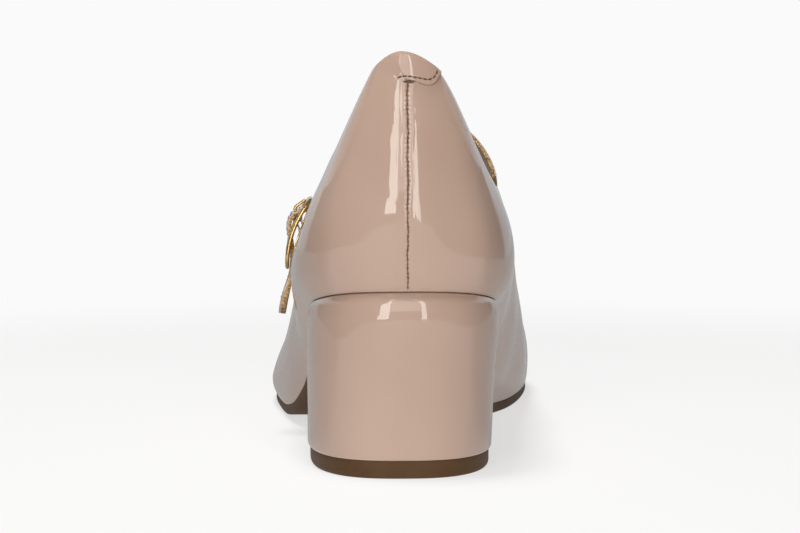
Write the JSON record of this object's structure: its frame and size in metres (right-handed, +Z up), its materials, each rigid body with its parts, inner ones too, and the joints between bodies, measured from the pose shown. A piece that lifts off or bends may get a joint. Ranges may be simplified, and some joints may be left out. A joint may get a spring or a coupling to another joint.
{
  "type": "block heel pump",
  "caption": "Left Mary Jane pump in glossy patent leather: a low throat, an instep strap with a small buckle, a thin sole and a covered block heel.",
  "frame": {"origin": "on the floor, under the middle of the shoe's box", "axes": "+X to the lateral side of this left shoe, +Y from toe to heel, +Z up"},
  "size_m": [0.0864, 0.2435, 0.1184],
  "materials": {
    "patent_leather": "nude pink patent leather with a hard gloss coat",
    "strap_leather": "the same patent leather as a strap, with raw brown cut edges",
    "insole_leather": "smooth matt beige lining leather",
    "brown_rubber": "dark brown moulded rubber, satin sides",
    "gold_metal": "polished pale gold plating"
  },
  "bodies": {
    "root": {"upper": "patent_leather", "back_tab": "patent_leather", "heel_block": "patent_leather", "strap": "strap_leather", "buckle_tab": "strap_leather", "insole": "insole_leather", "outsole": "brown_rubber", "heel_top_piece": "brown_rubber", "buckle_frame": "gold_metal", "buckle_bar": "gold_metal", "buckle_prong": "gold_metal"}
  },
  "joints": []
}
